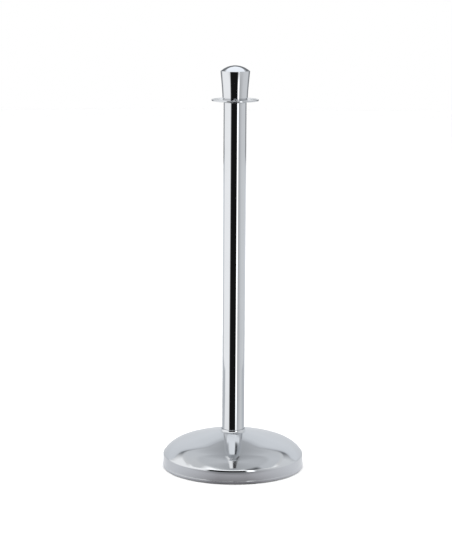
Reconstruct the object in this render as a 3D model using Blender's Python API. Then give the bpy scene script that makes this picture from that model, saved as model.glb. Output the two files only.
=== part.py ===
"""Rope stanchion: a chrome post with a flared crown and a rope ring on a domed, weighted base.

Run with: blender --background --python part.py
Metres, +Z up. The origin is the middle of the base, on the floor.
The post screws onto a bolt that stands up from the base weight, the crown screws into the head of
the post, and the rope ring turns on a spigot between the post and the crown.
"""

import math

import bmesh
import bpy

# Driving dimensions.
TOTAL_HEIGHT = 0.915
BASE_RADIUS = 0.160
TUBE_RADIUS = 0.0254
RING_RADIUS = 0.0525
CROWN_HEIGHT = 0.0748  # from the rope ring's top face to the top of the crown
GAP = 0.0003  # between faces that touch on the real object

# Base cover: hem, upright band, domed top, then a fillet up to the neck round the post.
SHEET = 0.0015
COVER_LIFT = 0.0018  # the hem hangs this far above the floor
HEM_HEIGHT = 0.0058
HEM_PROUD = 0.0006  # the hem stands this far outside the band
BAND_TOP = 0.0284
CORNER_RADIUS = 0.007
CORNER_SWEEP = 37.0  # degrees the corner turns before the dome begins
DOME_SLOPES = (  # (radius, how steeply the dome falls away there, in degrees)
    (0.030, 12.5),
    (0.044, 12.5),
    (0.056, 12.8),
    (0.066, 13.4),
    (0.076, 14.0),
    (0.088, 14.4),
    (0.104, 15.5),
    (0.118, 19.0),
    (0.126, 22.5),
    (0.134, 28.0),
    (0.142, 35.5),
    (0.148, 42.5),
    (0.154, 49.5),
    (0.1581, 53.0),
)
FILLET_RADIUS = 0.006
NECK_CLEARANCE = 0.0006
NECK_LENGTH = 0.0006

# Base weight and the rubber ring it stands on.
WEIGHT_RADIUS = 0.1535
WEIGHT_THICKNESS = 0.0165
BOSS_RADIUS = 0.034
BOSS_TOP = 0.046
RECESS_RADIUS = 0.0145
RECESS_TOP = 0.0195
PAD_OUTER_RADIUS = 0.150
PAD_INNER_RADIUS = 0.122
PAD_THICKNESS = 0.004
PAD_SCREWS = 4
PAD_SCREW_CIRCLE = 0.136
PAD_SCREW_RADIUS = 0.0022
PAD_SCREW_HEAD_RADIUS = 0.0042
PAD_SCREW_HEAD_HEIGHT = 0.0018
PAD_SCREW_LENGTH = 0.011

# Screw threads, and the post bolt's and the crown stud's other parts.
M12 = {"crest": 0.0060, "root": 0.00493, "pitch": 0.00175}
M10 = {"crest": 0.0050, "root": 0.00408, "pitch": 0.0015}
THREAD_CLEARANCE = 0.0003
BOLT_HEAD_FLATS = 0.018
BOLT_HEAD_LOW = 0.0060
BOLT_HEAD_HEIGHT = 0.0075
BOLT_THREAD_LOW = 0.0445
BOLT_THREAD_TURNS = 22
JAM_NUT_HEIGHT = 0.0065
FLAT_WASHER = (0.0064, 0.0120, 0.0022)  # bore radius, outer radius, thickness
LOCK_WASHER = (0.0064, 0.0103, 0.0022)
FOOT_PLUG_TURNS = 11
FOOT_THREAD_LOW = BOLT_THREAD_LOW + 6.5 * M12["pitch"]  # in mesh with the bolt's thread

# Post, rope ring and crown.
TUBE_WALL = 0.0015
SLIP_WASHER_THICKNESS = 0.0008
HEAD_FLANGE = 0.0013
HEAD_PLUG_TURNS = 12
SPIGOT_RADIUS = 0.0130
RING_THICKNESS = 0.0035
RING_EDGE_RADIUS = 0.0012
HUB_RADIUS = 0.0286
HUB_STEP = 0.0003
HOOK_HOLES = 4
HOOK_HOLE_RADIUS = 0.0075
HOOK_HOLE_CIRCLE = 0.0405  # radius from the post's axis to a hole's middle
CROWN_FOOT_RADIUS = 0.0280
CROWN_SHOULDER_RADIUS = 0.0329
CROWN_CAP_RISE = 0.0115
CROWN_FLARE = 1.35
CROWN_WALL = 0.0018
CROWN_EDGE_RADIUS = 0.0014
INSERT_THICKNESS = 0.012
STUD_THREAD_TURNS = 14
NUT_FLATS = 0.016
NUT_HEIGHT = 0.006

# Facets in a full turn.
THREAD_FACETS = 18
SMALL = 12
COARSE = 24
MEDIUM = 40
FINE = 48

# Levels that follow from the dimensions above.
RING_TOP = TOTAL_HEIGHT - CROWN_HEIGHT
RING_LOW = RING_TOP - RING_THICKNESS
HUB_LOW = RING_LOW - HUB_STEP
HUB_TOP = RING_TOP + HUB_STEP
HEAD_THREAD_LOW = HUB_TOP - 0.001 - M10["pitch"] * (HEAD_PLUG_TURNS + 1)
HEAD_WASHER_LOW = HUB_LOW - GAP - SLIP_WASHER_THICKNESS
FLANGE_TOP = HEAD_WASHER_LOW - GAP
TUBE_TOP = FLANGE_TOP - HEAD_FLANGE - GAP
TUBE_BORE = TUBE_RADIUS - TUBE_WALL
PLUG_RADIUS = TUBE_BORE - GAP
FOOT_WASHER_LOW = BOSS_TOP + GAP
TUBE_LOW = FOOT_WASHER_LOW + SLIP_WASHER_THICKNESS + GAP
NECK_RADIUS = TUBE_RADIUS + NECK_CLEARANCE + SHEET
WEIGHT_LOW = PAD_THICKNESS + GAP
WEIGHT_TOP = WEIGHT_LOW + WEIGHT_THICKNESS
CROWN_WASHER_LOW = HUB_TOP + GAP
INSERT_LOW = CROWN_WASHER_LOW + SLIP_WASHER_THICKNESS + GAP
INSERT_TOP = INSERT_LOW + INSERT_THICKNESS
CROWN_LOW = HUB_TOP + GAP
SHOULDER_TOP = TOTAL_HEIGHT - CROWN_CAP_RISE


def clear_scene():
    for obj in list(bpy.data.objects):
        bpy.data.objects.remove(obj)


def material(name, colour, roughness, metallic):
    made = bpy.data.materials.new(name)
    made.use_nodes = True
    shader = made.node_tree.nodes["Principled BSDF"]
    shader.inputs["Base Color"].default_value = (*colour, 1.0)
    shader.inputs["Roughness"].default_value = roughness
    shader.inputs["Metallic"].default_value = metallic
    return made


def finished(name, grid, finish):
    """Turns a filled bmesh into a named, smooth-shaded object."""
    bmesh.ops.recalc_face_normals(grid, faces=grid.faces)
    mesh = bpy.data.meshes.new(name)
    grid.to_mesh(mesh)
    grid.free()
    mesh.materials.append(finish)
    mesh.shade_smooth()
    mesh.set_sharp_from_angle(angle=math.radians(32))
    obj = bpy.data.objects.new(name, mesh)
    bpy.context.scene.collection.objects.link(obj)
    return obj


# Loops: a loop is one closed run round the Z axis, as a list of the corners at each facet angle.


def loop(grid, facets, radius, height):
    """A round loop. radius and height may be functions of the facet's angle."""
    corners = []
    for j in range(facets):
        angle = 2 * math.pi * j / facets
        r = radius(angle) if callable(radius) else radius
        z = height(angle) if callable(height) else height
        corners.append([grid.verts.new((r * math.cos(angle), r * math.sin(angle), z))])
    return corners


def skin(grid, low, high):
    """Faces between two loops. Where a loop has a step, the corners of the step fan out."""
    facets = len(low)
    for j in range(facets):
        for k in range(len(low[j]) - 1):
            grid.faces.new((low[j][k], low[j][k + 1], high[j][0]))
        for k in range(len(high[j]) - 1):
            grid.faces.new((low[j][-1], high[j][k + 1], high[j][k]))
        ahead = (j + 1) % facets
        grid.faces.new((low[j][-1], low[ahead][0], high[ahead][0], high[j][-1]))


def cap(grid, edge, height):
    """Closes a loop with faces that meet on the axis."""
    tip = grid.verts.new((0.0, 0.0, height))
    run = [corner for corners in edge for corner in corners]
    for first, second in zip(run, run[1:] + run[:1]):
        grid.faces.new((first, second, tip))


def skin_all(grid, loops, closed=False):
    for low, high in zip(loops, loops[1:]):
        skin(grid, low, high)
    if closed:
        skin(grid, loops[-1], loops[0])


def round_body(name, profile, finish, facets=MEDIUM):
    """A round solid from an outline of (radius, height) points; a hole runs down its middle."""
    grid = bmesh.new()
    skin_all(grid, [loop(grid, facets, r, z) for r, z in profile], closed=True)
    return finished(name, grid, finish)


def hexagon(across_flats):
    """The radius of a hexagon at an angle. Its corners are at 0, 60, 120 degrees and so on."""

    def radius(angle):
        off = (angle + 1e-9) % (math.pi / 3) - math.pi / 6
        return across_flats / 2 / math.cos(off)

    return radius


def hex_loops(grid, facets, across_flats, low, high, chamfer_low=True):
    """The loops of a hexagonal prism with its corners turned down at 30 degrees."""
    flat = hexagon(across_flats)
    face = 0.95 * across_flats / 2

    def drop(angle):
        return (flat(angle) - face) * math.tan(math.radians(30))

    upper = [
        loop(grid, facets, flat, lambda angle: high - drop(angle)),
        loop(grid, facets, face, high),
    ]
    if not chamfer_low:
        return [loop(grid, facets, flat, low)] + upper
    return [
        loop(grid, facets, face, low),
        loop(grid, facets, flat, lambda angle: low + drop(angle)),
    ] + upper


def hex_nut(name, across_flats, bore, low, height, finish):
    grid = bmesh.new()
    high = low + height
    ease = 0.0005
    loops = hex_loops(grid, COARSE, across_flats, low, high) + [
        loop(grid, COARSE, bore + ease, high),
        loop(grid, COARSE, bore, high - ease),
        loop(grid, COARSE, bore, low + ease),
        loop(grid, COARSE, bore + ease, low),
    ]
    skin_all(grid, loops, closed=True)
    return finished(name, grid, finish)


def thread(grid, form, low, turns, inside=False, taper_low=0.0, taper_high=0.0):
    """A right-hand screw thread, and its lower and its upper edge as loops.

    It is a lattice of slanted rows, alternately root and crest, each climbing one pitch in a full
    turn, so the end of a row meets the start of the row two above. An inside thread is wider by
    the clearance and starts and ends on its crest row; an outside one does so on its root row.
    A taper runs the crests down towards the root over that length at an end.
    """
    facets = THREAD_FACETS
    slack = THREAD_CLEARANCE if inside else 0.0
    pitch = form["pitch"]
    rows = []
    high = low + pitch * (turns + 1)
    for k in range(2 * turns + 1):
        row = []
        for j in range(facets):
            angle = 2 * math.pi * j / facets
            height = low + pitch * (k / 2 + j / facets)
            radius = form["root"]
            if (k % 2 == 1) != inside:
                share = 1.0
                if taper_low:
                    share = min(share, (height - low) / taper_low)
                if taper_high:
                    share = min(share, (high - height) / taper_high)
                radius += (form["crest"] - form["root"]) * max(share, 0.15)
            radius += slack
            place = (radius * math.cos(angle), radius * math.sin(angle), height)
            row.append(grid.verts.new(place))
        rows.append(row)
    last = len(rows) - 1
    for k in range(last):
        for j in range(facets - 1):
            grid.faces.new((rows[k][j], rows[k][j + 1], rows[k + 1][j + 1], rows[k + 1][j]))
        if k + 3 <= last:
            grid.faces.new((rows[k][-1], rows[k + 2][0], rows[k + 3][0], rows[k + 1][-1]))
    lower = [[rows[0][j]] for j in range(facets)]
    lower[0] = [rows[2][0], rows[1][0], rows[0][0]]
    upper = [[rows[last][j]] for j in range(facets)]
    upper[-1] = [rows[last][-1], rows[last - 1][-1], rows[last - 2][-1]]
    return lower, upper


def arc(centre, radius, start, end, steps):
    """Points of an arc in the (radius, height) plane, with the angles in degrees."""
    angles = [math.radians(start + (end - start) * k / steps) for k in range(steps + 1)]
    return [
        (centre[0] + radius * math.cos(angle), centre[1] + radius * math.sin(angle))
        for angle in angles
    ]


def dome_slope(radius):
    """How steeply the dome falls away at a radius, in radians, eased between the given slopes."""
    k = 0
    while k < len(DOME_SLOPES) - 2 and DOME_SLOPES[k + 1][0] < radius:
        k += 1
    (r0, a0), (r1, a1) = DOME_SLOPES[k : k + 2]
    before = DOME_SLOPES[max(k - 1, 0)]
    after = DOME_SLOPES[min(k + 2, len(DOME_SLOPES) - 1)]
    share = (radius - r0) / (r1 - r0)
    lead = (a1 - before[1]) / (r1 - before[0]) * (r1 - r0)
    trail = (after[1] - a0) / (after[0] - r0) * (r1 - r0)
    square, cube = share**2, share**3
    degrees = a0 * (2 * cube - 3 * square + 1) + lead * (cube - 2 * square + share)
    degrees += a1 * (3 * square - 2 * cube) + trail * (cube - square)
    return math.radians(degrees)


def cover_profile(depth, corner_steps, steps, fillet_steps):
    """The cover's section from the band up to the neck, depth below its outer skin."""
    corner = (BASE_RADIUS - HEM_PROUD - CORNER_RADIUS, BAND_TOP)
    points = arc(corner, CORNER_RADIUS - depth, 0.0, CORNER_SWEEP, corner_steps)
    r, z = arc(corner, CORNER_RADIUS, 0.0, CORNER_SWEEP, 1)[1]
    gentlest = dome_slope(DOME_SLOPES[0][0])
    inner = NECK_RADIUS + FILLET_RADIUS * (1.0 - math.sin(gentlest))
    fine = 12  # small steps in which the dome's height is summed, for each point kept
    stride = (r - inner) / (steps * fine)
    for k in range(steps * fine):
        z += stride * math.tan(dome_slope(r - stride / 2))
        r -= stride
        if k % fine == fine - 1 and k < steps * fine - 1:
            tilt = dome_slope(r)
            points.append((r - depth * math.sin(tilt), z - depth * math.cos(tilt)))
    # The fillet leaves the dome at the same slope and ends upright at the neck.
    centre = (NECK_RADIUS + FILLET_RADIUS, z + FILLET_RADIUS * math.cos(gentlest))
    low = 270.0 - math.degrees(gentlest)
    points += arc(centre, FILLET_RADIUS + depth, low, 180.0, fillet_steps)
    return points, centre[1] + NECK_LENGTH


def crown_profile(depth, steps, edge_steps, cap_steps):
    """The crown's section from its foot up the flare, over the shoulder and to the cap."""
    points = []
    foot = CROWN_LOW
    tall = SHOULDER_TOP - CROWN_EDGE_RADIUS - foot
    widen = CROWN_SHOULDER_RADIUS - CROWN_FOOT_RADIUS
    for k in range(steps + 1):
        share = k / steps
        radius = CROWN_FOOT_RADIUS + widen * share**CROWN_FLARE
        points.append((radius - depth, foot + tall * share))
    edge = (CROWN_SHOULDER_RADIUS - CROWN_EDGE_RADIUS, SHOULDER_TOP - CROWN_EDGE_RADIUS)
    sphere = (edge[0] ** 2 + CROWN_CAP_RISE**2) / (2 * CROWN_CAP_RISE)
    reach = math.degrees(math.asin(edge[0] / sphere))
    points += arc(edge, max(CROWN_EDGE_RADIUS - depth, 0.0002), 12.0, 90.0 - reach, edge_steps)
    top = TOTAL_HEIGHT - depth
    middle = (0.0, top - (sphere - depth))
    for k in range(1, cap_steps):
        angle = math.radians(90.0 - reach * (1.0 - k / cap_steps))
        radius = sphere - depth
        points.append((middle[0] + radius * math.cos(angle), middle[1] + radius * math.sin(angle)))
    return points, top


def cutter(name, radius, low, high, centre, facets=COARSE):
    """A round, hidden tool for cutting holes."""
    grid = bmesh.new()
    bmesh.ops.create_cone(
        grid,
        cap_ends=True,
        segments=facets,
        radius1=radius,
        radius2=radius,
        depth=high - low,
    )
    mesh = bpy.data.meshes.new(name)
    grid.to_mesh(mesh)
    grid.free()
    tool = bpy.data.objects.new(name, mesh)
    tool.location = (centre[0], centre[1], (low + high) / 2)
    tool.rotation_euler.z = math.pi / facets
    tool.hide_render = True
    tool.display_type = "WIRE"
    bpy.context.scene.collection.objects.link(tool)
    return tool


def cut(obj, tool):
    step = obj.modifiers.new(tool.name, "BOOLEAN")
    step.operation = "DIFFERENCE"
    step.solver = "EXACT"
    step.object = tool


def around(count, radius, first=0.0):
    """Places evenly spaced round the axis."""
    turns = [first + 2 * math.pi * k / count for k in range(count)]
    return [(radius * math.cos(turn), radius * math.sin(turn)) for turn in turns]


def make_base(finishes):
    outer, neck_top = cover_profile(0.0, 4, 12, 4)
    inner, _ = cover_profile(SHEET, 2, 7, 2)
    band = BASE_RADIUS - HEM_PROUD
    hem_top = COVER_LIFT + HEM_HEIGHT
    round_edge = 0.0007
    hem = [
        (BASE_RADIUS - round_edge, COVER_LIFT),
        (BASE_RADIUS, COVER_LIFT + round_edge),
        (BASE_RADIUS, hem_top - round_edge),
        (band, hem_top),
    ]
    neck = [
        (NECK_RADIUS, neck_top - 0.0004),
        (NECK_RADIUS - 0.0004, neck_top),
        (NECK_RADIUS - SHEET, neck_top),
    ]
    foot = [(band - SHEET, COVER_LIFT)]
    profile = hem + outer + neck + inner[::-1] + foot
    round_body("base_cover", profile, finishes["chrome"], FINE)

    weight = [
        (WEIGHT_RADIUS - 0.002, WEIGHT_LOW),
        (WEIGHT_RADIUS, WEIGHT_LOW + 0.002),
        (WEIGHT_RADIUS, WEIGHT_TOP - 0.003),
        (WEIGHT_RADIUS - 0.003, WEIGHT_TOP),
        (BOSS_RADIUS + 0.008, WEIGHT_TOP),
        (BOSS_RADIUS + 0.002, WEIGHT_TOP + 0.003),
        (BOSS_RADIUS, WEIGHT_TOP + 0.009),
        (BOSS_RADIUS - 0.0015, BOSS_TOP - 0.0015),
        (BOSS_RADIUS - 0.003, BOSS_TOP),
        (M12["crest"] + THREAD_CLEARANCE, BOSS_TOP),
        (M12["crest"] + THREAD_CLEARANCE, RECESS_TOP),
        (RECESS_RADIUS, RECESS_TOP),
        (RECESS_RADIUS, WEIGHT_LOW + 0.001),
        (RECESS_RADIUS + 0.001, WEIGHT_LOW),
    ]
    weight_body = round_body("base_weight", weight, finishes["iron"])
    pad_edge = 0.0008
    pad = [
        (PAD_OUTER_RADIUS - pad_edge, 0.0),
        (PAD_OUTER_RADIUS, pad_edge),
        (PAD_OUTER_RADIUS, PAD_THICKNESS),
        (PAD_INNER_RADIUS, PAD_THICKNESS),
        (PAD_INNER_RADIUS, pad_edge),
        (PAD_INNER_RADIUS + pad_edge, 0.0),
    ]
    pad_body = round_body("floor_pad", pad, finishes["rubber"])

    head_low = 0.0008
    head_top = head_low + PAD_SCREW_HEAD_HEIGHT
    tip = head_top + PAD_SCREW_LENGTH
    for k, place in enumerate(around(PAD_SCREWS, PAD_SCREW_CIRCLE, math.pi / 4), start=1):
        wide = PAD_SCREW_HEAD_RADIUS + GAP
        slim = PAD_SCREW_RADIUS + GAP
        cut(pad_body, cutter(f"cut_pad_head_{k}", wide, -0.002, head_top + GAP, place, SMALL))
        cut(pad_body, cutter(f"cut_pad_hole_{k}", slim, 0.001, 0.006, place, SMALL))
        cut(weight_body, cutter(f"cut_weight_hole_{k}", slim, 0.002, tip + GAP, place, SMALL))
        make_pad_screw(f"pad_screw_{k}", place, head_low, tip, finishes["zinc"])


def make_pad_screw(name, place, low, tip, finish):
    """A pan-head screw, head down, with a hexagonal socket in its head."""
    facets = SMALL
    grid = bmesh.new()
    head_top = low + PAD_SCREW_HEAD_HEIGHT
    socket = hexagon(0.0025)
    loops = [
        loop(grid, facets, socket, low + 0.0012),
        loop(grid, facets, socket, low),
        loop(grid, facets, PAD_SCREW_HEAD_RADIUS - 0.0007, low),
        loop(grid, facets, PAD_SCREW_HEAD_RADIUS, low + 0.0007),
        loop(grid, facets, PAD_SCREW_HEAD_RADIUS, head_top),
        loop(grid, facets, PAD_SCREW_RADIUS, head_top),
        loop(grid, facets, PAD_SCREW_RADIUS, tip - 0.001),
        loop(grid, facets, PAD_SCREW_RADIUS - 0.001, tip),
    ]
    skin_all(grid, loops)
    cap(grid, loops[0], low + 0.0012)
    cap(grid, loops[-1], tip)
    screw = finished(name, grid, finish)
    screw.location = (place[0], place[1], 0.0)


def make_post_bolt(finishes):
    facets = THREAD_FACETS
    grid = bmesh.new()
    head_top = BOLT_HEAD_LOW + BOLT_HEAD_HEIGHT
    bolt = M12["crest"]
    loops = [
        loop(grid, facets, 0.95 * BOLT_HEAD_FLATS / 2, BOLT_HEAD_LOW),
        loop(grid, facets, hexagon(BOLT_HEAD_FLATS), BOLT_HEAD_LOW + 0.0008),
        loop(grid, facets, hexagon(BOLT_HEAD_FLATS), head_top - 0.0004),
        loop(grid, facets, 0.96 * BOLT_HEAD_FLATS / 2, head_top),
        loop(grid, facets, bolt, head_top),
        loop(grid, facets, bolt, BOLT_THREAD_LOW - 0.001),
    ]
    skin_all(grid, loops)
    cap(grid, loops[0], BOLT_HEAD_LOW)
    lower, upper = thread(
        grid, M12, BOLT_THREAD_LOW, BOLT_THREAD_TURNS, taper_low=0.002, taper_high=0.0035
    )
    skin(grid, loops[-1], lower)
    tip = BOLT_THREAD_LOW + M12["pitch"] * (BOLT_THREAD_TURNS + 1) + 0.0006
    end = loop(grid, facets, M12["root"] - 0.0006, tip)
    skin(grid, upper, end)
    cap(grid, end, tip)
    finished("post_bolt", grid, finishes["zinc"])


def make_washers_and_nuts(finishes):
    bore, rim, thick = LOCK_WASHER
    low = BOLT_HEAD_LOW + BOLT_HEAD_HEIGHT + GAP
    make_lock_washer("bolt_lock_washer", bore, rim, low, thick, finishes["zinc"])
    bore, rim, thick = FLAT_WASHER
    low = low + LOCK_WASHER[2] + GAP
    high = low + thick
    ease = 0.0003
    flat = [(bore, low), (rim - ease, low), (rim, low + ease), (rim, high), (bore, high)]
    round_body("bolt_washer", flat, finishes["zinc"], COARSE)
    hex_nut(
        "jam_nut",
        BOLT_HEAD_FLATS,
        M12["crest"] + THREAD_CLEARANCE,
        BOSS_TOP + GAP,
        JAM_NUT_HEIGHT,
        finishes["zinc"],
    )


def make_lock_washer(name, bore, rim, low, thick, finish):
    """A spring washer: a square wire bent round once, with a slanted slot and a slight climb."""
    grid = bmesh.new()
    steps = 22
    climb = 0.0005
    wire = thick - climb
    start, end = math.radians(4), math.radians(352)
    sections = []
    for k in range(steps + 1):
        base = start + (end - start) * k / steps
        z = low + climb * k / steps
        section = []
        for r, up in ((bore, 0.0), (rim, 0.0), (rim, wire), (bore, wire)):
            angle = base + math.radians(7) * up / wire
            section.append(grid.verts.new((r * math.cos(angle), r * math.sin(angle), z + up)))
        sections.append(section)
    for first, second in zip(sections, sections[1:]):
        for a in range(4):
            b = (a + 1) % 4
            grid.faces.new((first[a], first[b], second[b], second[a]))
    grid.faces.new(sections[0])
    grid.faces.new(sections[-1])
    finished(name, grid, finish)


def make_post(finishes):
    tube = [
        (TUBE_RADIUS - 0.0004, TUBE_LOW),
        (TUBE_RADIUS, TUBE_LOW + 0.0004),
        (TUBE_RADIUS, TUBE_TOP),
        (TUBE_BORE, TUBE_TOP),
        (TUBE_BORE, TUBE_LOW),
    ]
    round_body("post_tube", tube, finishes["chrome"], FINE)

    high = FOOT_WASHER_LOW + SLIP_WASHER_THICKNESS
    ring = [(0.0165, FOOT_WASHER_LOW), (0.0250, FOOT_WASHER_LOW), (0.0250, high), (0.0165, high)]
    round_body("post_washer", ring, finishes["nylon"], COARSE)

    # The foot plug is threaded right through.
    facets = THREAD_FACETS
    grid = bmesh.new()
    lower, upper = thread(grid, M12, FOOT_THREAD_LOW, FOOT_PLUG_TURNS, inside=True)
    plug_low = FOOT_THREAD_LOW - 0.0008
    plug_top = FOOT_THREAD_LOW + 0.0008 + M12["pitch"] * (FOOT_PLUG_TURNS + 1)
    mouth = M12["crest"] + THREAD_CLEARANCE + 0.0006
    ease = 0.0008
    outside = [
        loop(grid, facets, mouth, plug_top),
        loop(grid, facets, PLUG_RADIUS - ease, plug_top),
        loop(grid, facets, PLUG_RADIUS, plug_top - ease),
        loop(grid, facets, PLUG_RADIUS, plug_low + ease),
        loop(grid, facets, PLUG_RADIUS - ease, plug_low),
        loop(grid, facets, mouth, plug_low),
    ]
    skin_all(grid, [upper] + outside + [lower])
    finished("foot_plug", grid, finishes["zinc"])

    # The head plug has a flange on the tube's end and a spigot that centres the rope ring.
    grid = bmesh.new()
    spigot_top = HUB_TOP - 0.0002
    lower, upper = thread(grid, M10, HEAD_THREAD_LOW, HEAD_PLUG_TURNS, inside=True)
    plug_low = HEAD_THREAD_LOW - 0.0008
    mouth = M10["crest"] + THREAD_CLEARANCE + 0.0006
    flange_low = TUBE_TOP + GAP
    outside = [
        loop(grid, facets, mouth, spigot_top),
        loop(grid, facets, SPIGOT_RADIUS - 0.0005, spigot_top),
        loop(grid, facets, SPIGOT_RADIUS, spigot_top - 0.0005),
        loop(grid, facets, SPIGOT_RADIUS, FLANGE_TOP),
        loop(grid, facets, TUBE_RADIUS - 0.0002, FLANGE_TOP),
        loop(grid, facets, TUBE_RADIUS - 0.0002, flange_low),
        loop(grid, facets, PLUG_RADIUS, flange_low),
        loop(grid, facets, PLUG_RADIUS, plug_low + ease),
        loop(grid, facets, PLUG_RADIUS - ease, plug_low),
        loop(grid, facets, mouth, plug_low),
    ]
    skin_all(grid, [upper] + outside + [lower])
    finished("head_plug", grid, finishes["zinc"])


def make_rope_ring(finishes):
    low = HEAD_WASHER_LOW
    high = low + SLIP_WASHER_THICKNESS
    inside = SPIGOT_RADIUS + GAP
    washer = [(inside, low), (0.0248, low), (0.0248, high), (inside, high)]
    round_body("ring_washer", washer, finishes["nylon"], COARSE)

    edge = RING_EDGE_RADIUS
    rim = RING_RADIUS - edge
    outline = [(inside, HUB_LOW), (HUB_RADIUS, HUB_LOW), (HUB_RADIUS, RING_LOW)]
    outline += arc((rim, RING_LOW + edge), edge, 270.0, 360.0, 3)
    outline += arc((rim, RING_TOP - edge), edge, 0.0, 90.0, 3)
    outline += [(HUB_RADIUS, RING_TOP), (HUB_RADIUS, HUB_TOP), (inside, HUB_TOP)]
    ring = round_body("rope_ring", outline, finishes["chrome"], FINE)
    for k, place in enumerate(around(HOOK_HOLES, HOOK_HOLE_CIRCLE), start=1):
        tool = cutter(
            f"cut_hook_hole_{k}", HOOK_HOLE_RADIUS, RING_LOW - 0.01, RING_TOP + 0.01, place
        )
        cut(ring, tool)


def make_crown(finishes):
    low = CROWN_WASHER_LOW
    high = low + SLIP_WASHER_THICKNESS
    washer = [(0.0070, low), (0.0250, low), (0.0250, high), (0.0070, high)]
    round_body("crown_washer", washer, finishes["nylon"], COARSE)

    facets = MEDIUM
    grid = bmesh.new()
    outer, top = crown_profile(0.0, 5, 3, 5)
    inner, ceiling = crown_profile(CROWN_WALL, 3, 1, 3)
    outside = [loop(grid, facets, r, z) for r, z in outer]
    inside = [loop(grid, facets, r, z) for r, z in inner]
    skin_all(grid, outside)
    skin_all(grid, inside)
    skin(grid, outside[0], inside[0])
    cap(grid, outside[-1], top)
    cap(grid, inside[-1], ceiling)
    finished("crown_shell", grid, finishes["chrome"])

    bore = M10["crest"] + THREAD_CLEARANCE
    rim = CROWN_FOOT_RADIUS - CROWN_WALL - GAP
    ease = 0.0006
    insert = [
        (bore, INSERT_LOW),
        (rim - ease, INSERT_LOW),
        (rim, INSERT_LOW + ease),
        (rim, INSERT_TOP - ease),
        (rim - ease, INSERT_TOP),
        (bore, INSERT_TOP),
    ]
    round_body("crown_insert", insert, finishes["zinc"])
    nut_low = INSERT_TOP + GAP
    hex_nut("crown_nut", NUT_FLATS, bore, nut_low, NUT_HEIGHT, finishes["zinc"])

    # The stud hangs below the insert and is threaded to match the head plug.
    facets = THREAD_FACETS
    grid = bmesh.new()
    thread_low = HEAD_THREAD_LOW + 1.5 * M10["pitch"]
    turns = STUD_THREAD_TURNS
    lower, upper = thread(grid, M10, thread_low, turns, taper_low=0.003, taper_high=0.002)
    foot = thread_low - 0.0006
    thread_high = thread_low + M10["pitch"] * (turns + 1)
    tail = loop(grid, facets, M10["root"] - 0.0006, foot)
    cap(grid, tail, foot)
    skin(grid, tail, lower)
    stud_top = max(nut_low + NUT_HEIGHT + 0.0015, thread_high + 0.002)
    shank = [
        loop(grid, facets, M10["crest"], thread_high + 0.001),
        loop(grid, facets, M10["crest"], stud_top - 0.0008),
        loop(grid, facets, M10["crest"] - 0.0008, stud_top),
    ]
    skin_all(grid, [upper] + shank)
    cap(grid, shank[-1], stud_top)
    finished("crown_stud", grid, finishes["zinc"])


def main():
    clear_scene()
    finishes = {
        "chrome": material("chrome", (0.60, 0.62, 0.65), 0.06, 1.0),
        "iron": material("cast_iron", (0.055, 0.057, 0.060), 0.62, 0.35),
        "zinc": material("zinc_plated_steel", (0.56, 0.57, 0.58), 0.30, 1.0),
        "nylon": material("nylon", (0.72, 0.71, 0.67), 0.45, 0.0),
        "rubber": material("black_rubber", (0.028, 0.028, 0.030), 0.75, 0.0),
    }
    make_base(finishes)
    make_post_bolt(finishes)
    make_washers_and_nuts(finishes)
    make_post(finishes)
    make_rope_ring(finishes)
    make_crown(finishes)


main()
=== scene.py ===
"""Looks for the rope stanchion: fine chrome surfaces, materials, a studio and a camera.

Metres, +Z up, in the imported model's own frame. The camera looks along +Y.
"""

import math

import bmesh
import bpy
from mathutils import Matrix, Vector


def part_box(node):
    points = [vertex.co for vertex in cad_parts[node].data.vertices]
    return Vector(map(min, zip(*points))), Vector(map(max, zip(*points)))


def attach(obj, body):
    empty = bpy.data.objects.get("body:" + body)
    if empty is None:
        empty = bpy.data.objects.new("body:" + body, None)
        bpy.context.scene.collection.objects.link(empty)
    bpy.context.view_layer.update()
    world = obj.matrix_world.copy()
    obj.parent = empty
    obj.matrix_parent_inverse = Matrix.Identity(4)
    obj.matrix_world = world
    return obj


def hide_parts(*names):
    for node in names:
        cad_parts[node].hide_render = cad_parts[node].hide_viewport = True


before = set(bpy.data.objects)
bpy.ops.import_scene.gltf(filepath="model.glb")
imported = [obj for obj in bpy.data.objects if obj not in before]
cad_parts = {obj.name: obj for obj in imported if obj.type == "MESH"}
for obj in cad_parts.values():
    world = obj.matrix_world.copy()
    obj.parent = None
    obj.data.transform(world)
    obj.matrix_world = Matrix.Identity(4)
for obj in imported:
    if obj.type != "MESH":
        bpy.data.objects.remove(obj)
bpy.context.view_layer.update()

# The object's main sizes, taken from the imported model.
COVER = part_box("base_cover")
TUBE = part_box("post_tube")
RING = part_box("rope_ring")
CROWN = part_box("crown_shell")
BASE_RADIUS = COVER[1][0]
TUBE_RADIUS = TUBE[1][0]
RING_RADIUS = RING[1][0]
SHOULDER_RADIUS = CROWN[1][0]
TOP = CROWN[1][2]
HUB_LOW, HUB_TOP = RING[0][2], RING[1][2]

SEGMENTS = 256  # facets in a full turn
COVER_SEGMENTS = 320
HOLE_SEGMENTS = 72
ON_AXIS = 1e-7  # a point this close to the Z axis counts as on it
CREASE_ANGLE = math.radians(32.0)  # edges sharper than this are shaded as creases
TURN = 2 * math.pi


# ---------------------------------------------------------------- mesh making


def arc(centre, radius, start, end, steps):
    """Points of an arc in the (radius, height) plane, with the angles in degrees."""
    angles = [math.radians(start + (end - start) * k / steps) for k in range(steps + 1)]
    return [
        (centre[0] + radius * math.cos(angle), centre[1] + radius * math.sin(angle))
        for angle in angles
    ]


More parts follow.
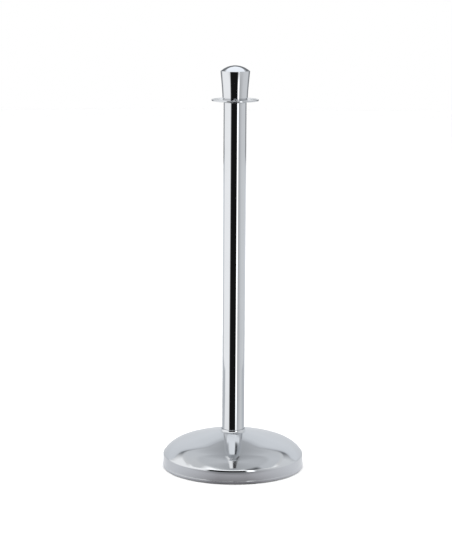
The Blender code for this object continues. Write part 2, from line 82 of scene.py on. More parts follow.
def supported(profile):
    """Adds a point near each end of every long straight, so smooth shading stays flat there."""
    reach = 0.00015
    longest_bare = 0.0012
    points = []
    for (r0, z0), (r1, z1) in zip(profile, profile[1:] + profile[:1]):
        points.append((r0, z0))
        length = math.hypot(r1 - r0, z1 - z0)
        if length > longest_bare:
            share = reach / length
            points.append((r0 + (r1 - r0) * share, z0 + (z1 - z0) * share))
            points.append((r1 - (r1 - r0) * share, z1 - (z1 - z0) * share))
    return points


def object_from(name, grid, finish, body):
    """Makes an object of a mesh, smooth but for its creases, and rides it on a body if given."""
    bmesh.ops.recalc_face_normals(grid, faces=grid.faces)
    mesh = bpy.data.meshes.new(name)
    grid.to_mesh(mesh)
    grid.free()
    mesh.shade_smooth()
    mesh.set_sharp_from_angle(angle=CREASE_ANGLE)
    mesh.materials.append(finish)
    obj = bpy.data.objects.new(name, mesh)
    bpy.context.scene.collection.objects.link(obj)
    if body:
        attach(obj, body)
    return obj


def lathe_grid(profile, segments=SEGMENTS):
    """A solid of revolution from an outline. Points on the axis close it there."""
    grid = bmesh.new()
    loops = []
    for r, z in profile:
        if r < ON_AXIS:
            loops.append([grid.verts.new((0.0, 0.0, z))])
            continue
        places = [TURN * j / segments for j in range(segments)]
        loops.append([grid.verts.new((r * math.cos(a), r * math.sin(a), z)) for a in places])
    for low, high in zip(loops, loops[1:] + loops[:1]):
        if len(low) == 1 and len(high) == 1:
            continue
        for j in range(segments):
            ahead = (j + 1) % segments
            corners = [low[0]] if len(low) == 1 else [low[j], low[ahead]]
            corners += [high[0]] if len(high) == 1 else [high[ahead], high[j]]
            grid.faces.new(corners)
    return grid


def lathe(name, profile, finish, body, segments=SEGMENTS):
    """A turned piece, from its outline in the (radius, height) plane."""
    return object_from(name, lathe_grid(supported(profile), segments), finish, body)


# ---------------------------------------------------------------- node helpers


class Nodes:
    """Short calls for building a material's nodes."""

    def __init__(self, name):
        self.material = bpy.data.materials.new(name)
        self.material.use_nodes = True
        self.tree = self.material.node_tree
        self.shader = self.tree.nodes["Principled BSDF"]
        self.where = self.tree.nodes.new("ShaderNodeTexCoord").outputs["Object"]

    def add(self, kind, **values):
        node = self.tree.nodes.new(kind)
        for key, value in values.items():
            setattr(node, key, value)
        return node

    def link(self, source, target):
        self.tree.links.new(source, target)

    def drive(self, name, source):
        """Feeds a node's output into one of the shader's own inputs."""
        self.link(source, self.shader.inputs[name])

    def set(self, **values):
        """Sets the shader's own inputs, with underscores for the spaces in their names."""
        for key, value in values.items():
            self.shader.inputs[key.replace("_", " ")].default_value = value

    def math(self, operation, first, second=None):
        """Calculates with numbers or with other nodes' outputs."""
        node = self.add("ShaderNodeMath", operation=operation)
        for socket, value in zip(node.inputs, (first, second)):
            if value is None:
                continue
            if isinstance(value, (int, float)):
                socket.default_value = value
            else:
                self.link(value, socket)
        return node.outputs[0]

    def noise(self, scale, detail=3.0, roughness=0.5, where=None, stretch=None):
        """Cloudy noise from 0 to 1, finer as the scale rises."""
        source = where or self.where
        if stretch:
            mapping = self.add("ShaderNodeMapping")
            mapping.inputs["Scale"].default_value = stretch
            self.link(source, mapping.inputs["Vector"])
            source = mapping.outputs[0]
        node = self.add("ShaderNodeTexNoise")
        node.inputs["Scale"].default_value = scale
        node.inputs["Detail"].default_value = detail
        node.inputs["Roughness"].default_value = roughness
        self.link(source, node.inputs["Vector"])
        return node.outputs["Fac"]

    def remap(self, value, low, high, to_low=0.0, to_high=1.0):
        """Stretches the range from low to high onto the range from to_low to to_high."""
        node = self.add("ShaderNodeMapRange")
        ends = {"From Min": low, "From Max": high, "To Min": to_low, "To Max": to_high}
        for key, number in ends.items():
            node.inputs[key].default_value = number
        self.link(value, node.inputs["Value"])
        return node.outputs[0]

    def ramp(self, value, stops):
        """Colours picked by a value, through stops of (value, (r, g, b))."""
        node = self.add("ShaderNodeValToRGB")
        fill_ramp(node.color_ramp, stops)
        self.link(value, node.inputs["Fac"])
        return node.outputs["Color"]

    def bump(self, height, strength, distance, before=None):
        """Relief from a height texture, distance in metres, on top of the relief before it."""
        node = self.add("ShaderNodeBump")
        node.inputs["Strength"].default_value = strength
        node.inputs["Distance"].default_value = distance
        self.link(height, node.inputs["Height"])
        if before:
            self.link(before, node.inputs["Normal"])
        return node.outputs[0]

    def polar(self):
        """(distance from the Z axis, height, 0), so a texture runs round in circles."""
        split = self.add("ShaderNodeSeparateXYZ")
        self.link(self.where, split.inputs[0])
        squares = self.math(
            "ADD",
            self.math("POWER", split.outputs[0], 2.0),
            self.math("POWER", split.outputs[1], 2.0),
        )
        join = self.add("ShaderNodeCombineXYZ")
        self.link(self.math("SQRT", squares), join.inputs[0])
        self.link(split.outputs[2], join.inputs[1])
        return join.outputs[0]


def fill_ramp(ramp, stops):
    """stops: (place, (r, g, b)) in order."""
    while len(ramp.elements) < len(stops):
        ramp.elements.new(0.5)
    for element, (place, colour) in zip(ramp.elements, stops):
        element.position = place
        element.color = (*colour, 1.0)


# ---------------------------------------------------------------- materials


def chrome(name, smooth, rough, circles=0.0, drawn=0.0, wave=0.0):
    """Plated, polished steel: a faint haze in patches, hairline marks and a little waviness.

    Smooth and rough bound the haze. The others are reliefs in metres: marks that run round the
    piece, marks that run along it, and the waviness.
    """
    n = Nodes(name)
    n.set(Metallic=1.0)
    haze = n.noise(scale=34.0, detail=4.0, roughness=0.6)
    n.drive("Roughness", n.remap(haze, 0.35, 0.72, smooth, rough))
    cloud = n.noise(scale=9.0, detail=2.0)
    clouded = tuple(part * CLOUD_SHADE for part in CHROME)
    n.drive("Base Color", n.ramp(cloud, [(0.3, clouded), (0.7, CHROME)]))
    normal = n.bump(n.noise(scale=60.0, detail=1.0), 1.0, wave) if wave else None
    if circles:
        across = (4200.0, 4200.0, 1.0)
        rings = n.noise(scale=1.0, detail=2.0, where=n.polar(), stretch=across)
        normal = n.bump(rings, 1.0, circles, normal)
    if drawn:
        lines = n.noise(scale=1.0, detail=2.0, stretch=(2600.0, 2600.0, 22.0))
        normal = n.bump(lines, 1.0, drawn, normal)
    n.drive("Normal", normal)
    return n.material


def zinc():
    """Bright zinc plate, cool and warm in patches, with a fine grain."""
    n = Nodes("zinc_plate")
    n.set(Metallic=1.0)
    patch = n.noise(scale=420.0, detail=4.0, roughness=0.65)
    cool, middle, warm = (0.50, 0.53, 0.56), (0.60, 0.61, 0.62), (0.66, 0.65, 0.61)
    n.drive("Base Color", n.ramp(patch, [(0.3, cool), (0.55, middle), (0.75, warm)]))
    n.drive("Roughness", n.remap(n.noise(scale=900.0), 0.3, 0.7, 0.22, 0.42))
    grain = n.noise(scale=2600.0, detail=3.0)
    n.drive("Normal", n.bump(grain, 0.5, 0.00003))
    return n.material


def cast_iron():
    """Dark painted casting, lumpy, with the paint worn on its high places."""
    n = Nodes("painted_cast_iron")
    n.set(Metallic=0.0)
    grain = n.noise(scale=520.0, detail=5.0, roughness=0.7)
    lumps = n.noise(scale=70.0, detail=3.0, roughness=0.6)
    dark, middle, worn = (0.020, 0.021, 0.023), (0.032, 0.032, 0.034), (0.060, 0.056, 0.052)
    n.drive("Base Color", n.ramp(lumps, [(0.35, dark), (0.62, middle), (0.8, worn)]))
    n.drive("Roughness", n.remap(grain, 0.3, 0.7, 0.48, 0.72))
    coarse = n.bump(lumps, 0.6, 0.0006)
    n.drive("Normal", n.bump(grain, 0.6, 0.00022, coarse))
    return n.material


def nylon():
    """Natural nylon, which takes a little light into itself."""
    n = Nodes("natural_nylon")
    n.set(Roughness=0.42, Subsurface_Weight=0.08, Subsurface_Scale=0.002)
    tone = n.noise(scale=160.0, detail=3.0)
    dark, pale = (0.66, 0.64, 0.58), (0.75, 0.74, 0.69)
    n.drive("Base Color", n.ramp(tone, [(0.3, dark), (0.7, pale)]))
    n.drive("Normal", n.bump(n.noise(scale=1800.0), 0.4, 0.00003))
    return n.material


def rubber():
    """Dull moulded rubber with a dusty bloom."""
    n = Nodes("black_rubber")
    tone = n.noise(scale=240.0, detail=4.0, roughness=0.6)
    black, dusty = (0.016, 0.016, 0.017), (0.038, 0.037, 0.036)
    n.drive("Base Color", n.ramp(tone, [(0.3, black), (0.75, dusty)]))
    n.drive("Roughness", n.remap(tone, 0.3, 0.7, 0.66, 0.86))
    grain = n.noise(scale=1500.0, detail=4.0, roughness=0.7)
    n.drive("Normal", n.bump(grain, 0.6, 0.00008))
    return n.material


CHROME = (0.590, 0.605, 0.625)
CLOUD_SHADE = 0.955  # the chrome's darkest clouds, as a share of its colour
FINISH = {
    "crown": chrome("crown_chrome", 0.03, 0.075, circles=4e-7, wave=6e-6),
    "ring": chrome("ring_chrome", 0.04, 0.10, circles=5e-7),
    "tube": chrome("tube_chrome", 0.025, 0.07, drawn=4e-7, wave=4e-6),
    "cover": chrome("cover_chrome", 0.05, 0.12, circles=7e-7, wave=1e-5),
    "zinc": zinc(),
    "iron": cast_iron(),
    "nylon": nylon(),
    "rubber": rubber(),
}


# ---------------------------------------------------------------- chrome pieces

# The cover's section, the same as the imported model's.
SHEET = 0.0015
LIFT = COVER[0][2]
HEM_HEIGHT = 0.0058
HEM_PROUD = 0.0006
BAND_TOP = 0.0284
CORNER = 0.007
CORNER_SWEEP = 37.0  # degrees the corner turns before the dome begins
DOME_SLOPES = (  # (radius, how steeply the dome falls away there, in degrees)
    (0.030, 12.5),
    (0.044, 12.5),
    (0.056, 12.8),
    (0.066, 13.4),
    (0.076, 14.0),
    (0.088, 14.4),
    (0.104, 15.5),
    (0.118, 19.0),
    (0.126, 22.5),
    (0.134, 28.0),
    (0.142, 35.5),
    (0.148, 42.5),
    (0.154, 49.5),
    (0.1581, 53.0),
)
FILLET = 0.006
NECK_CLEARANCE = 0.0006
NECK_RADIUS = TUBE_RADIUS + NECK_CLEARANCE + SHEET
NECK_LENGTH = 0.0006
NECK_LIP = 0.0006  # radius of the neck's rounded top edges
HEM_EDGE = 0.0009  # radius of the hem's rounded edges
HEM_CHAMFER = 0.0004
HEM_CREASE = ((0.00006, -0.00002), (0.0, 0.00012))  # (outward, upward) from the hem's top


def dome_slope(radius):
    """How steeply the dome falls away at a radius, in radians, eased between the given slopes."""
    k = 0
    while k < len(DOME_SLOPES) - 2 and DOME_SLOPES[k + 1][0] < radius:
        k += 1
    (r0, a0), (r1, a1) = DOME_SLOPES[k : k + 2]
    before = DOME_SLOPES[max(k - 1, 0)]
    after = DOME_SLOPES[min(k + 2, len(DOME_SLOPES) - 1)]
    share = (radius - r0) / (r1 - r0)
    lead = (a1 - before[1]) / (r1 - before[0]) * (r1 - r0)
    trail = (after[1] - a0) / (after[0] - r0) * (r1 - r0)
    square, cube = share**2, share**3
    degrees = a0 * (2 * cube - 3 * square + 1) + lead * (cube - 2 * square + share)
    degrees += a1 * (3 * square - 2 * cube) + trail * (cube - square)
    return math.radians(degrees)


def cover_side(depth, corner_steps, steps, fillet_steps):
    """The cover's section from the band up to the neck, depth below its outer skin."""
    corner = (BASE_RADIUS - HEM_PROUD - CORNER, BAND_TOP)
    points = arc(corner, CORNER - depth, 0.0, CORNER_SWEEP, corner_steps)
    r, z = arc(corner, CORNER, 0.0, CORNER_SWEEP, 1)[1]
    gentlest = dome_slope(DOME_SLOPES[0][0])
    inner = NECK_RADIUS + FILLET * (1.0 - math.sin(gentlest))
    fine = 4  # strides summed from one point of the dome to the next
    stride = (r - inner) / (steps * fine)
    for k in range(steps * fine):
        z += stride * math.tan(dome_slope(r - stride / 2))
        r -= stride
        if k % fine == fine - 1 and k < steps * fine - 1:
            tilt = dome_slope(r)
            points.append((r - depth * math.sin(tilt), z - depth * math.cos(tilt)))
    centre = (NECK_RADIUS + FILLET, z + FILLET * math.cos(gentlest))
    low = 270.0 - math.degrees(gentlest)
    points += arc(centre, FILLET + depth, low, 180.0, fillet_steps)
    return points, centre[1] + NECK_LENGTH


def make_cover():
    outer, neck_top = cover_side(0.0, 24, 130, 16)
    inner, _ = cover_side(SHEET, 6, 24, 5)
    band = BASE_RADIUS - HEM_PROUD
    hem_top = LIFT + HEM_HEIGHT
    hem = [(band - SHEET, LIFT + HEM_CHAMFER), (band - SHEET + HEM_CHAMFER, LIFT)]
    hem += arc((BASE_RADIUS - HEM_EDGE, LIFT + HEM_EDGE), HEM_EDGE, -90.0, 0.0, 8)
    hem += arc((BASE_RADIUS - HEM_EDGE, hem_top - HEM_EDGE), HEM_EDGE, 0.0, 70.0, 8)
    hem += [(band + outward, hem_top + upward) for outward, upward in HEM_CREASE]
    lip_height = neck_top - NECK_LIP
    neck = arc((NECK_RADIUS - NECK_LIP, lip_height), NECK_LIP, 0.0, 90.0, 6)
    neck += arc((NECK_RADIUS - SHEET + NECK_LIP, lip_height), NECK_LIP, 90.0, 180.0, 6)
    outline = hem + outer + neck + inner[::-1]
    cover = lathe("cover_spun", outline, FINISH["cover"], "base", COVER_SEGMENTS)
    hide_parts("base_cover")


TUBE_WALL = 0.0015
TUBE_EDGE = 0.0004  # radius of the tube's outer edges
TUBE_CHAMFER = 0.0002  # on its inner edges


def make_tube():
    low, high = TUBE[0][2], TUBE[1][2]
    outline = arc((TUBE_RADIUS - TUBE_EDGE, low + TUBE_EDGE), TUBE_EDGE, -90.0, 0.0, 5)
    outline += arc((TUBE_RADIUS - TUBE_EDGE, high - TUBE_EDGE), TUBE_EDGE, 0.0, 90.0, 5)
    inside = TUBE_RADIUS - TUBE_WALL
    outline += [(inside + TUBE_CHAMFER, high), (inside, high - TUBE_CHAMFER)]
    outline += [(inside, low + TUBE_CHAMFER), (inside + TUBE_CHAMFER, low)]
    tube = lathe("tube_drawn", outline, FINISH["tube"], "post")
    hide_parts("post_tube")


HUB_RADIUS = 0.0286
HUB_STEP = 0.0003
BORE = 0.0133
RING_EDGE = 0.0012  # radius of the ring's rounded edges
HOOK_HOLES = 4
HOOK_HOLE_RADIUS = 0.0075
HOOK_HOLE_CIRCLE = 0.0405  # radius from the post's axis to a hole's middle
HOLE_EDGE = 0.0005  # radius of a hole's rounded edges
SPOOL_REACH = 0.004  # a spool goes this far past the ring's faces
SPOOL_TWIST = 0.02  # radians, which keeps a spool's facets off the ring's own
LEVEL = 0.99999  # a face whose normal rises this much is level


def make_spool(k, low, top):
    """Cutter for the hook hole numbered k. Its flanks leave the hole's edges rounded."""
    end = HOOK_HOLE_RADIUS + 2 * HOLE_EDGE
    middle = HOOK_HOLE_RADIUS + HOLE_EDGE
    outline = [(0.0, low - SPOOL_REACH), (end, low - SPOOL_REACH)]
    outline += arc((middle, low + HOLE_EDGE), HOLE_EDGE, 270.0, 180.0, 6)
    outline += arc((middle, top - HOLE_EDGE), HOLE_EDGE, 180.0, 90.0, 6)
    outline += [(end, top + SPOOL_REACH), (0.0, top + SPOOL_REACH)]
    grid = lathe_grid(outline, HOLE_SEGMENTS)
    bmesh.ops.recalc_face_normals(grid, faces=grid.faces)
    turn = TURN * k / HOOK_HOLES
    place = (HOOK_HOLE_CIRCLE * math.cos(turn), HOOK_HOLE_CIRCLE * math.sin(turn), 0.0)
    bmesh.ops.rotate(grid, verts=grid.verts, matrix=Matrix.Rotation(SPOOL_TWIST, 3, "Z"))
    bmesh.ops.translate(grid, verts=grid.verts, vec=place)
    mesh = bpy.data.meshes.new(f"spool_{k}")
    grid.to_mesh(mesh)
    grid.free()
    spool = bpy.data.objects.new(f"spool_{k}", mesh)
    bpy.context.scene.collection.objects.link(spool)
    return spool


def make_ring():
    low, top = HUB_LOW + HUB_STEP, HUB_TOP - HUB_STEP
    rim = RING_RADIUS - RING_EDGE
    outline = [(BORE, HUB_LOW), (HUB_RADIUS, HUB_LOW), (HUB_RADIUS, low)]
    outline += arc((rim, low + RING_EDGE), RING_EDGE, 270.0, 360.0, 10)
    outline += arc((rim, top - RING_EDGE), RING_EDGE, 0.0, 90.0, 10)
    outline += [(HUB_RADIUS, top), (HUB_RADIUS, HUB_TOP), (BORE, HUB_TOP)]
    ring = object_from("rope_plate", lathe_grid(supported(outline)), FINISH["ring"], None)
    spools = [make_spool(k, low, top) for k in range(HOOK_HOLES)]
    for k, spool in enumerate(spools):
        step = ring.modifiers.new(f"hole_{k}", "BOOLEAN")
        step.operation = "DIFFERENCE"
        step.solver = "EXACT"
        step.object = spool
    bake_modifiers(ring)
    for spool in spools:
        mesh = spool.data
        bpy.data.objects.remove(spool)
        bpy.data.meshes.remove(mesh)
    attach(ring, "rope_ring")
    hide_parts("rope_ring")


def bake_modifiers(obj):
    """Gives an object its modified mesh, with its level faces shaded flat."""
    view = bpy.context.evaluated_depsgraph_get()
    mesh = bpy.data.meshes.new_from_object(obj.evaluated_get(view))
    old = obj.data
    obj.modifiers.clear()
    obj.data = mesh
    bpy.data.meshes.remove(old)
    mesh.shade_smooth()
    mesh.set_sharp_from_angle(angle=CREASE_ANGLE)
    for face in mesh.polygons:
        if abs(face.normal.z) > LEVEL:
            face.use_smooth = False


CROWN_FOOT = 0.0280
CROWN_CAP_RISE = 0.0115
CROWN_FLARE = 1.35
CROWN_WALL = 0.0018
CROWN_EDGE = 0.0014  # radius of the edge between the flared side and the cap
CROWN_LEAST_EDGE = 0.0002  # the same edge inside the shell
CROWN_EDGE_START = 2.0  # degrees up from level at which that edge's arc begins
FOOT_EASE = 0.0003  # how far the foot's edges are eased
FOOT_INSET = 0.00002  # the flared side begins this far in
FOOT_ROUND = 0.3  # the outer edge passes its corner at this share of the ease, so it is rounded


def crown_side(depth, steps, edge_steps, cap_steps):
    """The crown's section from its foot up to the middle of its cap, depth below its skin."""
    points = []
    foot = CROWN[0][2]
    shoulder = TOP - CROWN_CAP_RISE
    tall = shoulder - CROWN_EDGE - foot
    for k in range(steps + 1):
        share = k / steps
        radius = CROWN_FOOT + (SHOULDER_RADIUS - CROWN_FOOT) * share**CROWN_FLARE
        points.append((radius - depth, foot + tall * share))
    edge = (SHOULDER_RADIUS - CROWN_EDGE, shoulder - CROWN_EDGE)
    sphere = (edge[0] ** 2 + CROWN_CAP_RISE**2) / (2 * CROWN_CAP_RISE)
    reach = math.degrees(math.asin(edge[0] / sphere))
    bend = max(CROWN_EDGE - depth, CROWN_LEAST_EDGE)
    points += arc(edge, bend, CROWN_EDGE_START, 90.0 - reach, edge_steps)
    middle = TOP - sphere
    for k in range(1, cap_steps + 1):
        angle = math.radians(90.0 - reach * (1.0 - k / cap_steps))
        radius = sphere - depth
        points.append((radius * math.cos(angle), middle + radius * math.sin(angle)))
    points[-1] = (0.0, TOP - depth)
    return points


def make_crown():
    outer = crown_side(0.0, 40, 12, 40)
    inner = crown_side(CROWN_WALL, 12, 3, 12)
    foot = outer[0][1]
    eased = foot + FOOT_EASE
    outer[0] = (CROWN_FOOT - FOOT_INSET, eased)
    rim = [(CROWN_FOOT - CROWN_WALL + FOOT_EASE, foot), (CROWN_FOOT - FOOT_EASE, foot)]
    rim += [(CROWN_FOOT - FOOT_ROUND * FOOT_EASE, foot + FOOT_ROUND * FOOT_EASE)]
    inner[0] = (CROWN_FOOT - CROWN_WALL, eased)
    crown = lathe("crown_spun", rim + outer + inner[::-1], FINISH["crown"], "crown")
    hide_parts("crown_shell")


def finish_cad_nodes():
    """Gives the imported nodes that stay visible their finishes."""
    finishes = {
        "floor_pad": "rubber",
        "base_weight": "iron",
        "post_washer": "nylon",
        "ring_washer": "nylon",
        "crown_washer": "nylon",
    }
    for name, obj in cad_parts.items():
        finish = FINISH[finishes.get(name, "zinc")]
        for slot in obj.material_slots:
            slot.material = finish


# ---------------------------------------------------------------- studio


# The studio as polished metal sees it: (degrees above the horizon, the band found there).
STUDIO = (
    (-90.0, "floor"),
    (-16.5, "floor"),
    (-13.8, "low"),
    (0.5, "low"),
    (2.5, "glow"),
    (8.0, "glow"),
    (11.0, "low"),
    (37.5, "low"),
    (39.6, "eaves"),
    (41.9, "eaves"),
    (43.5, "lights"),
    (54.0, "lights"),
    (60.0, "top"),
    (90.0, "top"),
)
# Each band has stops round the horizon: (degrees from straight behind the camera, positive to
# its right, brightness, blueness).
FRONT = (
    (-120.0, 1.33, 0.0),
    (-46.0, 1.36, 0.0),
    (-38.0, 0.012, 0.0),
    (21.0, 0.012, 0.0),
    (25.0, 2.6, 0.0),
    (34.0, 2.2, 0.0),
    (38.0, 0.60, 0.03),
    (75.0, 0.93, 0.03),
    (120.0, 0.96, 0.04),
)
FLOOR_FRONT = (
    (-120.0, 1.02, 0.0),
    (-46.0, 1.04, 0.0),
    (-38.0, 0.012, 0.0),
    (20.0, 0.012, 0.0),
    (27.0, 0.84, 0.02),
    (36.0, 0.90, 0.02),
    (120.0, 0.93, 0.04),
)
BANDS = {
    "floor": [
        (-180.0, 0.30, 0.1),
        (-143.0, 0.40, 0.1),
        *FLOOR_FRONT,
        (143.0, 0.40, 0.1),
        (180.0, 0.30, 0.1),
    ],
    "low": [
        (-180.0, 0.22, 0.1),
        (-143.0, 0.28, 0.1),
        *FRONT,
        (143.0, 0.28, 0.1),
        (180.0, 0.22, 0.1),
    ],
    "glow": [(-180.0, 0.92, 0.05), *FRONT, (180.0, 0.92, 0.05)],
    "eaves": [
        (-180.0, 0.47, 0.08),
        (-162.0, 0.80, 0.06),
        (-125.0, 0.92, 0.03),
        (-98.0, 0.92, 0.0),
        (-80.0, 1.9, 0.0),
        (80.0, 1.9, 0.0),
        (98.0, 0.90, 0.0),
        (125.0, 0.90, 0.03),
        (162.0, 0.76, 0.06),
        (180.0, 0.47, 0.08),
    ],
    "lights": [
        (-180.0, 0.48, 0.08),
        (-155.0, 0.84, 0.06),
        (-120.0, 0.88, 0.04),
        (-72.0, 0.86, 0.02),
        (-50.0, 1.9, 0.0),
        (24.0, 2.0, 0.0),
        (32.0, 0.12, 0.1),
        (54.0, 0.12, 0.1),
        (66.0, 0.80, 0.06),
        (120.0, 0.86, 0.06),
        (155.0, 0.80, 0.06),
        (180.0, 0.48, 0.08),
    ],
    "top": [
        (-180.0, 0.50, 0.08),
        (-140.0, 0.78, 0.06),
        (-80.0, 0.80, 0.05),
        (0.0, 0.56, 0.06),
        (80.0, 0.74, 0.06),
        (130.0, 0.72, 0.06),
        (180.0, 0.50, 0.08),
    ],
}
SCALE = 4.0  # ramps hold 0 to 1, so they are stored divided by this
BLUE_SHIFT = (-0.5, -0.1, 0.4)  # what a blueness of 1 adds to red, green and blue

# A white strip and a dark one beside it run overhead, front to back. Widths are on a sphere of
# radius 1 round the object.
STRIP = 0.06  # each strip's width
STRIP_BLUR = 0.01  # of the strips' outer edges
STRIP_SEAM = 0.006  # half the width of the blur between them
STRIP_LOW = 64.0  # degrees above the horizon at which they begin
STRIP_FADE = 2.0  # degrees over which they fade in
STRIP_WHITE = 1.25
STRIP_DARK = 0.08


def sky(places):
    """Ramp stops for one band of the studio."""
    stops = []
    for degrees, bright, blue in places:
        bright /= SCALE
        colour = tuple(bright * (1.0 + shift * blue) for shift in BLUE_SHIFT)
        stops.append(((degrees + 180.0) / 360.0, colour))
    return stops


def grey(level):
    return (level, level, level, 1.0)


def make_world():
    """A studio that only reflections see, and plain white for the camera and for soft light."""
    world = bpy.data.worlds.new("studio")
    bpy.context.scene.world = world
    world.use_nodes = True
    tree = world.node_tree
    tree.nodes.clear()

    def add(kind, **values):
        node = tree.nodes.new(kind)
        for key, value in values.items():
            setattr(node, key, value)
        return node

    def calculate(operation, first, second=0.0):
        node = add("ShaderNodeMath", operation=operation)
        for socket, value in zip(node.inputs, (first, second)):
            if isinstance(value, (int, float)):
                socket.default_value = value
            else:
                tree.links.new(value, socket)
        return node.outputs[0]

    def between(value, low, high):
        node = add("ShaderNodeMapRange", interpolation_type="SMOOTHSTEP")
        node.inputs["From Min"].default_value = low
        node.inputs["From Max"].default_value = high
        tree.links.new(value, node.inputs["Value"])
        return node.outputs[0]

    def mix(share, first, second):
        node = add("ShaderNodeMix", data_type="RGBA")
        tree.links.new(share, node.inputs["Factor"])
        for name, value in (("A", first), ("B", second)):
            if isinstance(value, tuple):
                node.inputs[name].default_value = value
            else:
                tree.links.new(value, node.inputs[name])
        return node.outputs["Result"]

    ray = add("ShaderNodeTexCoord").outputs["Generated"]
    split = add("ShaderNodeSeparateXYZ")
    tree.links.new(ray, split.inputs[0])
    x, y, z = split.outputs
    round_about = calculate("ARCTAN2", x, calculate("MULTIPLY", y, -1.0))
    share = calculate("ADD", calculate("DIVIDE", round_about, TURN), 0.5)
    bands = {}
    for name, places in BANDS.items():
        node = add("ShaderNodeValToRGB")
        fill_ramp(node.color_ramp, sky(places))
        tree.links.new(share, node.inputs["Fac"])
        bands[name] = node.outputs["Color"]
    colour = bands[STUDIO[0][1]]
    for (low, below), (high, above) in zip(STUDIO, STUDIO[1:]):
        if below != above:
            rise = between(z, math.sin(math.radians(low)), math.sin(math.radians(high)))
            colour = mix(rise, colour, bands[above])
    strip_base = math.sin(math.radians(STRIP_LOW - STRIP_FADE))
    high = between(z, strip_base, math.sin(math.radians(STRIP_LOW)))
    far = STRIP + STRIP_BLUR
    for left, right, bright in (
        ((-far, -STRIP), (STRIP_SEAM, -STRIP_SEAM), STRIP_WHITE),
        ((-STRIP_SEAM, STRIP_SEAM), (far, STRIP), STRIP_DARK),
    ):
        strip = calculate("MULTIPLY", between(x, *left), between(x, *right))
        colour = mix(calculate("MULTIPLY", high, strip), colour, grey(bright / SCALE))
    studio = add("ShaderNodeBackground")
    studio.inputs["Strength"].default_value = SCALE
    tree.links.new(colour, studio.inputs["Color"])
    paper = add("ShaderNodeBackground")
    paper.inputs["Color"].default_value = grey(1.0)
    paper.inputs["Strength"].default_value = 1.0
    pick = add("ShaderNodeMixShader")
    path = add("ShaderNodeLightPath")
    plain = calculate("MAXIMUM", path.outputs["Is Camera Ray"], path.outputs["Is Diffuse Ray"])
    tree.links.new(plain, pick.inputs[0])
    tree.links.new(studio.outputs[0], pick.inputs[1])
    tree.links.new(paper.outputs[0], pick.inputs[2])
    tree.links.new(pick.outputs[0], add("ShaderNodeOutputWorld").inputs[0])


FLOOR_RADIUS = 9.0
FLOOR_TONES = [(0.3, (0.955,) * 3), (0.7, (0.965,) * 3)]
FLOOR_CARD_RADIUS = 0.285
FLOOR_CARD_HEIGHT = 0.0002
FLOOR_CARD_FROM, FLOOR_CARD_TO = 0.15, 0.29  # radii between which its painted shade runs
# Painted shade: darkest next to the base as a painted contact shadow, and dark again further out
# as a painted dark reflection.
FLOOR_CARD_PAINTED_SHADE = [
    (0.05, (0.20, 0.20, 0.21)),
    (0.25, (0.36, 0.35, 0.36)),
    (0.60, (0.54, 0.53, 0.55)),
    (0.72, (0.30, 0.30, 0.31)),
    (0.90, (0.16, 0.16, 0.17)),
]
FLOOR_CARD_SIDE_LIGHT = (0.86, 0.87, 0.90, 1.0)  # its painted light to the left and right of the base


def disc(name, radius, z, finish, segments=128):
    grid = bmesh.new()
    bmesh.ops.create_circle(grid, cap_ends=True, segments=segments, radius=radius)
    obj = object_from(name, grid, finish, None)
    obj.location.z = z
    return obj


def only_reflected(obj):
    """Hides a studio piece from all but reflections."""
    obj.visible_camera = False
    obj.visible_diffuse = False
    obj.visible_shadow = False


def glowing(name):
    """A material that does nothing but glow."""
    n = Nodes(name)
    n.set(Roughness=1.0, Emission_Strength=1.0, Specular_IOR_Level=0.0)
    n.set(Base_Color=grey(0.0))
    return n


def make_floor():
    n = Nodes("pale_floor")
    n.set(Roughness=0.9, Specular_IOR_Level=0.0)
    n.drive("Base Color", n.ramp(n.noise(scale=3.0, detail=2.0), FLOOR_TONES))
    floor = disc("floor", FLOOR_RADIUS, 0.0, n.material)
    floor.visible_glossy = False


def make_floor_card():
    """A painted reflection of the floor near the base, seen only by polished metal: glowing grey
    with painted shade, darkest next to the base as a painted contact shadow, and lighter to the
    sides as painted light.
    """
    n = glowing("painted_floor_shade")
    split = n.add("ShaderNodeSeparateXYZ")
    n.link(n.polar(), split.inputs[0])
    out = split.outputs[0]
    # Painted shade by distance from the post, with a painted contact shadow at the base.
    painted_shade = n.ramp(n.remap(out, FLOOR_CARD_FROM, FLOOR_CARD_TO), FLOOR_CARD_PAINTED_SHADE)
    across = n.add("ShaderNodeSeparateXYZ")
    n.link(n.where, across.inputs[0])
    side = n.math("DIVIDE", n.math("ABSOLUTE", across.outputs[0]), out)
    # Painted light: the reflected floor is made lighter to the left and right of the base.
    painted_side_light = n.add("ShaderNodeMix", data_type="RGBA")
    n.link(n.remap(side, 0.25, 0.95), painted_side_light.inputs["Factor"])
    n.link(painted_shade, painted_side_light.inputs["A"])
    painted_side_light.inputs["B"].default_value = FLOOR_CARD_SIDE_LIGHT
    n.drive("Emission Color", painted_side_light.outputs["Result"])
    only_reflected(disc("floor_card", FLOOR_CARD_RADIUS, FLOOR_CARD_HEIGHT, n.material))


CARD_HALF_WIDTH = 1.0
CARD_FRONT = 0.06  # where the rear card begins, behind the post
CARD_BACK = 0.6  # where it ends and the back card stands
CARD_HEIGHT = 0.62
CARD_LIFT = 0.0001  # the rear card lies this far above the floor
COOL = (0.97, 1.0, 1.04)  # the cards' tint
CROWN_CARD_RADIUS = 0.056
CROWN_CARD_HEIGHT = 0.962


def height_glow(name, stops, low=-1.0, high=1.0):
    """A glow whose brightness changes with height, through stops of (share, brightness)."""
    n = glowing(name)
    split = n.add("ShaderNodeSeparateXYZ")
    n.link(n.where, split.inputs[0])
    tones = [(at, tuple(bright * part for part in COOL)) for at, bright in stops]
    n.drive("Emission Color", n.ramp(n.remap(split.outputs[2], low, high), tones))
    return n.material


def oblong(name, finish, corners):
    grid = bmesh.new()
    grid.faces.new([grid.verts.new(corner) for corner in corners])
    card = object_from(name, grid, finish, None)
    return card


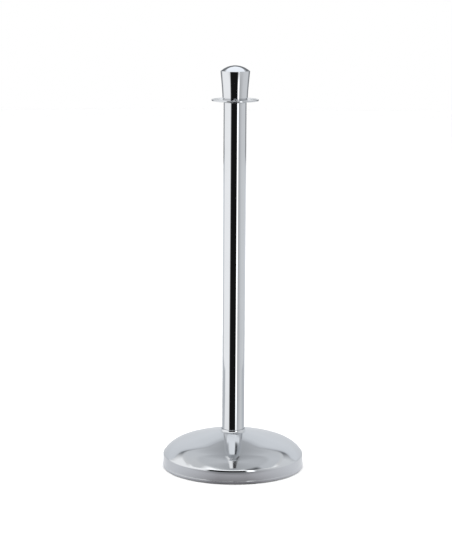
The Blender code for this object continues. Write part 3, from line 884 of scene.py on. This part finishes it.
def make_cards():
    """Light cards behind the object, on the floor before them, and over the crown."""
    fade = [(0.0, 0.78), (0.5, 0.94), (0.86, 0.94), (1.0, 0.74)]
    back = height_glow("back_glow", fade, 0.0, CARD_HEIGHT)
    even = height_glow("even_glow", [(0.0, 0.74), (1.0, 0.74)])
    over = height_glow("over_glow", [(0.0, 1.45), (1.0, 1.45)])
    left, right = -CARD_HALF_WIDTH, CARD_HALF_WIDTH
    upright = [
        (left, CARD_BACK, 0.0),
        (right, CARD_BACK, 0.0),
        (right, CARD_BACK, CARD_HEIGHT),
        (left, CARD_BACK, CARD_HEIGHT),
    ]
    lying = [
        (left, CARD_FRONT, CARD_LIFT),
        (right, CARD_FRONT, CARD_LIFT),
        (right, CARD_BACK, CARD_LIFT),
        (left, CARD_BACK, CARD_LIFT),
    ]
    only_reflected(oblong("back_card", back, upright))
    only_reflected(oblong("rear_card", even, lying))
    only_reflected(disc("crown_card", CROWN_CARD_RADIUS, CROWN_CARD_HEIGHT, over, 96))


LIGHT_DIAMETER = 3.2
LIGHT_HEIGHT = 3.4
LIGHT_WATTS = 60.0


def make_lights():
    light = bpy.data.lights.new("overhead", "AREA")
    light.shape = "DISK"
    light.size = LIGHT_DIAMETER
    light.energy = LIGHT_WATTS
    obj = bpy.data.objects.new("overhead", light)
    obj.location = (0.0, 0.0, LIGHT_HEIGHT)
    obj.visible_glossy = False
    bpy.context.scene.collection.objects.link(obj)


CAMERA_PLACE = (-0.0182, -4.24, 1.204)
CAMERA_DIP = 10.05  # degrees below the horizon
CAMERA_ROLL = 0.32  # degrees
LENS = 126.8  # mm
SENSOR = 36.0  # mm


def make_camera():
    data = bpy.data.cameras.new("camera")
    data.lens = LENS
    data.sensor_width = SENSOR
    camera = bpy.data.objects.new("camera", data)
    tilt = Matrix.Rotation(math.radians(90.0 - CAMERA_DIP), 4, "X")
    roll = Matrix.Rotation(math.radians(CAMERA_ROLL), 4, "Z")
    camera.matrix_world = Matrix.Translation(CAMERA_PLACE) @ tilt @ roll
    bpy.context.scene.collection.objects.link(camera)
    bpy.context.scene.camera = camera


make_cover()
make_tube()
make_ring()
make_crown()
finish_cad_nodes()
make_world()
make_floor()
make_floor_card()
make_cards()
make_lights()
make_camera()
bpy.context.scene.view_settings.view_transform = "Standard"
